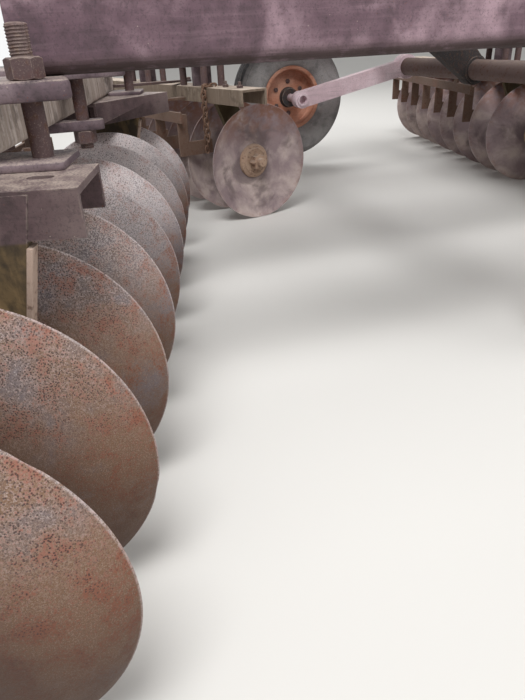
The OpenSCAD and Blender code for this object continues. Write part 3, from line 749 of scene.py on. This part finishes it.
FRAME_FINISHES = {
    "frame_paint": ("right_rail", "left_rail", "inner_rails", "cross_tubes", "hinge_lugs",
                    "cylinder_lug", "tongue_tube", "tongue_braces"),
    "beam_steel": ("rear_right_beam", "front_right_beam"),
    "channel_steel": ("rear_left_beam", "front_left_beam"),
    "channel_paint": ("rear_right_hangers", "front_right_hangers"),
    "leg_steel": ("rear_left_hangers", "front_left_hangers"),
    "scraper_steel": [f"{gang}_scrapers" for gang in GANGS],
    "axle_iron": [f"{gang}_axle" for gang in GANGS],
    "bearing_iron": ("rockshaft_bearings",),
    "shaft_steel": ("rockshaft",),
    "arm_paint": ("left_arm", "right_arm"),
    "hitch_iron": ("hitch_clevis", "jack_tube"),
    "wheel_paint": ("left_rim", "right_rim"),
    "cylinder_paint": ("cylinder_barrel",),
    "rod_chrome": ("cylinder_rod", "jack_leg"),
}
SHARP = {"axle_iron", "shaft_steel", "rod_chrome"}


class HARROW_OT_coat_frame(bpy.types.Operator):
    """Finish every solid of the frame that stays in view"""

    bl_idname = "harrow.coat_frame"
    bl_label = "Finish the frame"

    def execute(self, context):
        for coating, nodes in FRAME_FINISHES.items():
            bevel = 0.0 if coating in SHARP else context.scene.harrow_sizes.edge_round
            for node in nodes:
                coat(node, coating, bevel)
        return {"FINISHED"}


def dish_at(r):
    """How deep the dish of a disc is at a radius."""
    run = DISC_R - FLAT_R
    curve = (run * run + DISH * DISH) / (2 * DISH)
    return 0.0 if r <= FLAT_R else curve - math.sqrt(curve * curve - (r - FLAT_R) ** 2)


class HARROW_OT_make_discs(bpy.types.Operator):
    """Dished discs with rims worn out of round"""

    bl_idname = "harrow.make_discs"
    bl_label = "Discs"

    def execute(self, context):
        sizes = context.scene.harrow_sizes
        for gang, (_, _, _, dish, _, count) in GANGS.items():
            steps, bands = (sizes.disc_steps, 16) if gang == "rear_right" else (108, 9)
            shape = Shape()
            for k in range(count):
                at = gang_matrix(gang) @ move(k * PITCH - dish * DISH, 0, 0) @ mirrored(dish)
                seed = Vector((k * 7.3, len(gang) * 3.1, 0))
                self.disc(shape, at @ turned(90, "Y"), steps, bands, seed, sizes.rim_wear)
            made = shape.piece(f"{gang}_disc_blades", f"{gang}_gang", "disc_steel",
                               f"disc_steel_{gang}", 40)
            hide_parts(f"{gang}_discs")
        return {"FINISHED"}

    def disc(self, shape, at, steps, bands, seed, wear):
        """One disc with a ground rim, notched and rubbed short of round, and waved a little."""
        ground_from, worn_from = DISC_R - 0.016, 0.250
        radii = [FLAT_R + (ground_from - FLAT_R) * i / bands for i in range(bands + 1)]
        section = [(DISC_BORE, -DISC_T / 2)] + [(r, dish_at(r) - DISC_T / 2) for r in radii]
        section += [(DISC_R - 0.008, DISH * 0.972 - 0.0022), (DISC_R - 0.001, DISH + DISC_T / 2 - 0.003)]
        section += [(DISC_R, DISH + DISC_T / 2 - 0.0012), (DISC_R - 0.0012, DISH + DISC_T / 2)]
        section += [(r, dish_at(r) + DISC_T / 2) for r in reversed(radii)] + [(DISC_BORE, DISC_T / 2)]
        rings = []
        for r, h in section:
            ring = []
            for a in angles(steps):
                spot = seed + Vector(around(1.0, a)) * 2.2
                notch = max(0.0, noise.noise(spot * 2.7 + Vector((5, 1, 0))) - 0.32) * 3.0
                lost = wear * (0.5 + 0.5 * noise.noise(spot) + 1.2 * notch)
                left = r - lost * max(0.0, (r - worn_from) / (DISC_R - worn_from)) ** 3
                wave = 0.0011 * noise.noise(spot * 0.6 + Vector((0, 0, 3))) * (r / DISC_R) ** 2
                ring.append(around(left, a, h + wave))
            rings.append(ring)
        shape.loft(rings, at, round_trip=True)


class HARROW_OT_make_clamps(bpy.types.Operator):
    """Clamp plates, straps, foot plates, threaded bolts and nuts that hold the gang beams"""

    bl_idname = "harrow.make_clamps"
    bl_label = "Clamps"

    def execute(self, context):
        for gang in GANGS:
            plates, bolts = Shape(), Shape()
            for clamp in CLAMPS[gang]:
                self.clamp(gang, plates, bolts, context.scene.harrow_sizes, *clamp)
            made = plates.piece(f"{gang}_clamp_plates", "frame", "clamp_steel", "clamp_paint")
            nuts = bolts.piece(f"{gang}_clamp_bolts", "frame", "clamp_steel", "bolt_iron")
            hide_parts(f"{gang}_clamps")
            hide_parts(f"{gang}_clamps")
        return {"FINISHED"}

    def clamp(self, gang, plates, bolts, sizes, out, left, right, across, end, count, front_row):
        """One clamp. It stands straight under its rail, and its bolts run down past the turned beam."""
        _, _, swing, _, low, _ = GANGS[gang]
        turn = swing * GANG_ANGLE
        top = BEAM_Z + BEAM_H - DISC_R
        under = (LOW_BEAM_Z + LOW_BEAM_H if low else BEAM_Z) - DISC_R
        back_row = LOW_BACK_ROW if low else BACK_ROW
        straight = Matrix.Rotation(-turn, 4, "Z")
        at = gang_matrix(gang) @ move((out - INNER_X) / math.cos(GANG_ANGLE), 0, 0)
        spun = at @ straight
        plates.plate(rounded(right - left, PLATE_LENGTH, 0.026), top, top + PLATE_T,
                     spun @ move((left + right) / 2, PLATE_SHIFT, 0), 0.006)
        if low:
            plates.plate(rounded(POST_W, POST_LENGTH, 0.006), under, top,
                         at @ move(LOW_BEAM_Y * math.tan(turn), LOW_BEAM_Y, 0) @ straight, 0.002)
        for x in across:
            ahead, back = ((y + x * math.sin(turn)) / math.cos(turn) for y in (front_row, back_row))
            rows = ((ahead, 0.003 - front_row, FOOT_REACH, 0.052), (back, -FOOT_REACH, BOLT_R, 0.014))
            for y, foot_back, foot_ahead, past in rows[:count]:
                spot = spun @ move(x, y, 0)
                self.bolt(bolts, spot, under, top + PLATE_T, end == "strap", past, sizes)
                if end == "channel":
                    foot = move(0, (foot_back + foot_ahead) / 2, 0)
                    plates.plate(rounded(FOOT_W, foot_ahead - foot_back, 0.012), under, under + FOOT_T,
                                 spot @ Matrix.Rotation(turn, 4, "Z") @ foot)
            if end == "strap":
                front, rear = ahead + STRAP_AHEAD, back - STRAP_BACK
                plates.plate(rounded(STRAP_W, front - rear, 0.016), under - STRAP_T, under,
                             spun @ move(x, (front + rear) / 2, 0), 0.004)

    def bolt(self, bolts, spot, under, seat, strapped, past, sizes):
        """One bolt from the plate's top down, with a second nut where a strap hangs on it."""
        thread = (THREAD_R, sizes.thread_depth, sizes.thread_pitch)
        foot = under - STRAP_T - CLAMP_NUT[1] - STUB if strapped else under
        bolts.lathe([(BOLT_R, foot), (BOLT_R, seat + THREAD_FROM + 0.002)], 24, spot)
        bolts.thread(*thread, past + CLAMP_NUT[1] - THREAD_FROM, spot @ move(0, 0, seat + THREAD_FROM))
        slant = Matrix.Rotation(spot.translation.x * 9, 4, "Z")
        bolts.nut(*CLAMP_NUT, 6, spot @ move(0, 0, seat) @ slant)
        if strapped:
            bolts.nut(*CLAMP_NUT, 6, spot @ move(0, 0, foot + STUB) @ slant)
            bolts.thread(*thread, STUB, spot @ move(0, 0, foot + STUB) @ turned(180, "X"))


class HARROW_OT_make_axle_ends(bpy.types.Operator):
    """Collars, square nuts and threads on the ends of the gang axles"""

    bl_idname = "harrow.make_axle_ends"
    bl_label = "Axle ends"

    def execute(self, context):
        for gang, (_, _, _, dish, _, count) in GANGS.items():
            shape = Shape()
            for end, k in ((-1, 0), (1, count - 1)):
                face = k * PITCH - dish * DISH + end * (DISC_T / 2 + WASHER_T)
                at = gang_matrix(gang) @ move(face, 0, 0) @ turned(end * 90, "Y")
                shape.nut(*AXLE_NUT, 4, at @ turned(45, "Z"))
                shape.lathe(COLLAR, 56, at, round_trip=True)
                shape.thread(0.0225, 0.0016, 0.0060, 0.031, at @ move(0, 0, 0.0435))
            shape.piece(f"{gang}_axle_nuts", f"{gang}_gang", "axle_iron", "axle_iron")
        return {"FINISHED"}


class HARROW_OT_make_fixings(bpy.types.Operator):
    """Bolts of the scrapers and bearings, pale plates on the legs' ahead edges as a painted highlight,
    and the tie bar between the gangs
    """

    bl_idname = "harrow.make_fixings"
    bl_label = "Small fixings"

    def execute(self, context):
        for gang, (_, _, _, dish, low, count) in GANGS.items():
            shape = Shape()
            at = gang_matrix(gang)
            for k in range(1 if low else 0, count):
                blade = k * PITCH + dish * BLADE_SHIFT
                for x in (blade - BLADE_HALF, blade + BLADE_HALF):
                    shape.nut(*SCRAPER_BOLT, 6, at @ move(x, *BLADE_TOP) @ turned(-90, "X"))
            out, across, up = BEARING_BOLT_AT
            for x in bearing_places(gang):
                for side in (-1, 1):
                    for y in (-across, across):
                        spot = at @ move(x + side * out, y, up)
                        shape.nut(*BEARING_BOLT, 6, spot @ turned(side * 90, "Y"))
            shape.piece(f"{gang}_small_bolts", "frame", "clamp_steel", "bolt_iron")
        self.strips()
        self.tie_bar()
        return {"FINISHED"}

    # Pale plates along the ahead faces of the right gangs' legs: a painted highlight of a sunlit face
    def strips(self):
        shape = Shape()
        low, high = (Vector((0, *p)) for p in LEG_EDGE)
        lean = Matrix.Rotation(-math.atan2(high.y - low.y, high.z - low.z), 4, "X")
        for gang in ("rear_right", "front_right"):
            for x in bearing_places(gang):
                at = gang_matrix(gang) @ move(x, low.y, low.z) @ lean @ move(0, 0.004, 0)
                shape.plate(rounded(0.034, 0.010, 0.002), 0.120, (high - low).length - 0.085, at, 0.001)
        shape.piece("leg_edge_strips", "frame", "hanger_steel", "strip_steel")

    def tie_bar(self):
        near, far = (place(*end).translation for end in TIE_BAR)
        shape = Shape()
        way = (far - near).normalized()
        across = way.cross(Vector((0, 0, 1))).normalized()
        turn = Matrix((across, across.cross(way), way)).transposed().to_4x4()
        shape.plate(rounded(0.044, 0.012, 0.002), 0, (far - near).length,
                    Matrix.Translation(near) @ turn, 0.001)
        for spot in (far, far + Vector((0.05, -0.028, 0))):
            shape.nut(*TIE_BOLT, 6, Matrix.Translation(spot + Vector((0, 0, 0.005))))
        for x in (0.12, -0.02):
            bolt = gang_matrix("rear_left") @ move(x, LOW_BEAM_Y, LOW_BEAM_Z + LOW_BEAM_H - DISC_R)
            shape.nut(*BEAM_NUT, 6, bolt)
            shape.thread(0.009, 0.001, 0.003, 0.018, bolt @ move(0, 0, 0.012), 16)
        shape.piece("gang_tie_bar", "frame", "clamp_steel", "bolt_iron")


class HARROW_OT_make_chain(bpy.types.Operator):
    """A rusty chain hung over the back of the rear left beam"""

    bl_idname = "harrow.make_chain"
    bl_label = "Hanging chain"

    def execute(self, context):
        wire = context.scene.harrow_sizes.chain_wire
        top = LOW_BEAM_Z + LOW_BEAM_H - DISC_R + wire * 0.7
        back = LOW_BEAM_Y - LOW_BEAM_W / 2
        shape = Shape()
        for line in (
            ((0.222, back + 0.060, top), (0.214, back - 0.002, top), (0.212, back - 0.012, top - 0.02),
             (0.210, back - 0.014, 0.060)),
            ((0.196, back + 0.040, top), (0.196, back - 0.002, top), (0.196, back - 0.012, top - 0.02),
             (0.188, back - 0.018, 0.230), (0.172, back - 0.020, 0.120)),
        ):
            self.links(shape, gang_matrix("rear_left"), [Vector(p) for p in line], wire)
        shape.piece("hanging_chain", "frame", "clamp_steel", "chain_iron")
        return {"FINISHED"}

    def links(self, shape, at, line, wire):
        """Links along a line of points, every other one turned a quarter."""
        walked, turns = 0.0, 0
        for one, two in zip(line, line[1:]):
            way = (two - one).normalized()
            aside = way.cross(Vector((0, 1, 0.3))).normalized()
            while walked < (two - one).length:
                flat = aside if turns % 2 else way.cross(aside).normalized()
                middle = one + way * walked
                link = [middle + way * math.cos(a) * wire * 2.6 + flat * math.sin(a) * wire * 1.5
                        for a in angles(14)]
                shape.sweep(link, wire / 2, 6, at, round_trip=True)
                walked += wire * 3.4
                turns += 1
            walked -= (two - one).length


class HARROW_OT_make_wheels(bpy.types.Operator):
    """Ribbed tyres, wheel nuts, hub caps, hub seals, valves and arm eyes"""

    bl_idname = "harrow.make_wheels"
    bl_label = "Wheels"

    def execute(self, context):
        section = TREAD + tuple((r, -x) for r, x in reversed(TREAD[1:]))
        for name, side in (("left", -1), ("right", 1)):
            at = place(CENTRE_X + side * WHEEL_X, WHEEL_Y, WHEEL_Z) @ mirrored(side) @ turned(90, "Y")
            tyre = Shape()
            tyre.lathe(section, 120, at, round_trip=True)
            made = tyre.piece(f"{name}_ribbed_tyre", f"{name}_wheel", "tyre_rubber", "tyre_rubber", 28)
            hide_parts(f"{name}_tyre")
            parts = Shape()
            for i in range(6):
                spun = at @ turned(60 * i, "Z")
                parts.nut(*WHEEL_NUT, 6, spun @ move(BOLT_CIRCLE, 0, 0.0070))
                parts.nut(*WHEEL_BOLT, 6, spun @ move(BOLT_CIRCLE, 0, -0.0040) @ turned(180, "X"))
            parts.lathe(HUB_CAP, 40, at)
            parts.sweep(VALVE, 0.0042, 10, at)
            parts.piece(f"{name}_wheel_nuts", f"{name}_wheel", "wheel_paint", "bolt_iron")
            seal = Shape()
            seal.lathe(HUB_SEAL, 48, at, round_trip=True)
            seal.piece(f"{name}_hub_seal", f"{name}_wheel", "wheel_paint", "bearing_iron")
            eye = Shape()
            eye.lathe(EYE_RING, 40, at @ move(0, 0, -ARM_EYE_IN), round_trip=True)
            eye.piece(f"{name}_arm_eye", "rockshaft", "arm_paint", "arm_paint")
        return {"FINISHED"}


class HARROW_OT_make_lift(bpy.types.Operator):
    """Gland and ports of the lift cylinder, rings on the rockshaft bearings, and the jack's crank"""

    bl_idname = "harrow.make_lift"
    bl_label = "Lift and jack"

    def execute(self, context):
        dip = math.atan2(LUG_Z - CRANK_Z, LUG_Y - CRANK_Y)
        at = place(CENTRE_X, LUG_Y, LUG_Z) @ turned(180, "Z") @ Matrix.Rotation(-dip, 4, "X")
        barrel = Shape()
        for section in (GLAND, BARREL_RING):
            barrel.lathe(section, 48, at @ turned(-90, "X"), round_trip=True)
        for y in (0.095, 0.410):
            barrel.nut(*PORT, 6, at @ move(0, y, 0.048))
        barrel.piece("cylinder_gland", "lift_barrel", "cylinder_paint", "cylinder_paint")
        rings = Shape()
        for side in (-1, 1):
            for off in (-0.038, 0.038):
                spot = place(CENTRE_X + side * SHAFT_BEARING_X + off, SHAFT_Y, SHAFT_Z)
                rings.lathe(BEARING_RING, 48, spot @ turned(90, "Y"), round_trip=True)
        rings.piece("bearing_rings", "rockshaft", "shaft_steel", "bearing_iron")
        jack = Shape()
        at = place(JACK_X, JACK_Y, 0)
        jack.lathe(JACK_CAP, 40, at)
        jack.lathe(JACK_BAND, 40, at, round_trip=True)
        jack.sweep(JACK_CRANK, 0.008, 12, at)
        jack.lathe(JACK_GRIP, 20, at @ move(JACK_CRANK[-1][0], 0, 0))
        jack.piece("jack_crank", "tongue", "hanger_steel", "hitch_iron")
        return {"FINISHED"}


class HARROW_OT_make_welds(bpy.types.Operator):
    """Weld beads where the cross tubes meet the rails"""

    bl_idname = "harrow.make_welds"
    bl_label = "Welds"

    def execute(self, context):
        shape = Shape()
        half = TUBE_W / 2
        corners = rounded(TUBE_W + 0.004, TUBE_W + 0.004, 0.020, 4)
        for y in CROSS_Y:
            for side in (-1, 1):
                x = CENTRE_X + side * (RAIL_X - half) - side * 0.003
                path = []
                for one, two in zip(corners, corners[1:] + corners[:1]):
                    for t in (0.0, 0.25, 0.5, 0.75):
                        a, b = (one[i] + (two[i] - one[i]) * t for i in (0, 1))
                        sag = 0.0012 * noise.noise(Vector((a * 90, b * 90, y)))
                        path.append((x, y + half + a + sag, RAIL_Z + half + b + sag))
                shape.sweep(path, 0.0055, 6, place(0, 0, 0), round_trip=True)
        shape.piece("weld_beads", "frame", "frame_paint", "frame_paint")
        return {"FINISHED"}


class HARROW_OT_make_stage(bpy.types.Operator):
    """Floor, lamps, backdrop light and the camera"""

    bl_idname = "harrow.make_stage"
    bl_label = "Stage"

    def execute(self, context):
        stage = context.scene.harrow_stage
        self.floor(stage)
        self.backdrop(context)
        for name, spot, target, share, size in LAMPS:
            lamp = bpy.data.lights.new(name, "AREA")
            lamp.shape = "SQUARE"
            lamp.size = size
            lamp.energy = stage.key_power * share
            aim = (Vector(target) - Vector(spot)).to_track_quat("-Z", "Y")
            added(name, lamp).matrix_world = Matrix.Translation(spot) @ aim.to_matrix().to_4x4()
        self.camera(context, stage)
        return {"FINISHED"}

    def floor(self, stage):
        shape = bmesh.new()
        bmesh.ops.create_grid(shape, x_segments=2, y_segments=2, size=40)
        data = bpy.data.meshes.new("floor")
        shape.to_mesh(data)
        shape.free()
        f = Finish("floor", "floor")
        data.materials.append(f.done(0.9, f.cloud(3.0), 0.0002))
        made = added("floor", data)

    def backdrop(self, context):
        world = bpy.data.worlds.new("backdrop")
        context.scene.world = world
        world.use_nodes = True
        sky = Nodes(world.node_tree)
        seen = sky.node("ShaderNodeLightPath", {}, {}, "Is Camera Ray")
        seen = seen.most(sky.node("ShaderNodeLightPath", {}, {}, "Is Glossy Ray"))
        strength = sky.node("ShaderNodeMapRange", {}, {0: seen, 3: SKY_LIGHT, 4: SKY_SEEN})
        glow = sky.node("ShaderNodeBackground", {}, {"Color": (255, 255, 255), "Strength": strength})
        sky.node("ShaderNodeOutputWorld", {}, {"Surface": glow})

    def camera(self, context, stage):
        lens = bpy.data.cameras.new("camera")
        lens.sensor_width = 36
        lens.lens = stage.lens
        lens.clip_start = 0.02
        lens.clip_end = 200
        holder = added("camera", lens)
        right_angle = math.pi / 2
        holder.matrix_world = (Matrix.Translation(stage.camera_place)
                               @ Matrix.Rotation(stage.heading - right_angle, 4, "Z")
                               @ Matrix.Rotation(right_angle - stage.dip, 4, "X")
                               @ Matrix.Rotation(stage.roll, 4, "Z"))
        context.scene.camera = holder


class HARROW_PT_panel(bpy.types.Panel):
    """The harrow's sizes, colours and pieces"""

    bl_label = "Disc harrow"
    bl_space_type = "VIEW_3D"
    bl_region_type = "UI"
    bl_category = "Harrow"

    def draw(self, context):
        for group in (getattr(context.scene, name) for name in GROUPS):
            box = self.layout.box()
            for name in group.bl_rna.properties.keys():
                if name not in {"rna_type", "name"}:
                    box.prop(group, name)
        for step in OPERATORS:
            self.layout.operator(step.bl_idname)


OPERATORS = (HARROW_OT_coat_frame, HARROW_OT_make_discs, HARROW_OT_make_axle_ends, HARROW_OT_make_clamps,
             HARROW_OT_make_fixings, HARROW_OT_make_chain, HARROW_OT_make_wheels, HARROW_OT_make_lift,
             HARROW_OT_make_welds, HARROW_OT_make_stage)
GROUPS = {"harrow_colours": HarrowColours, "harrow_sizes": HarrowSizes, "harrow_stage": HarrowStage}
CLASSES = (*GROUPS.values(), *OPERATORS, HARROW_PT_panel)


def register():
    for item in CLASSES:
        bpy.utils.register_class(item)
    for name, group in GROUPS.items():
        setattr(bpy.types.Scene, name, PointerProperty(type=group))


def unregister():
    for name in GROUPS:
        delattr(bpy.types.Scene, name)
    for item in reversed(CLASSES):
        bpy.utils.unregister_class(item)


def main():
    register()
    bpy.context.scene.view_settings.view_transform = "Standard"
    for step in OPERATORS:
        family, action = step.bl_idname.split(".")
        getattr(getattr(bpy.ops, family), action)()


if __name__ == "__main__":
    main()
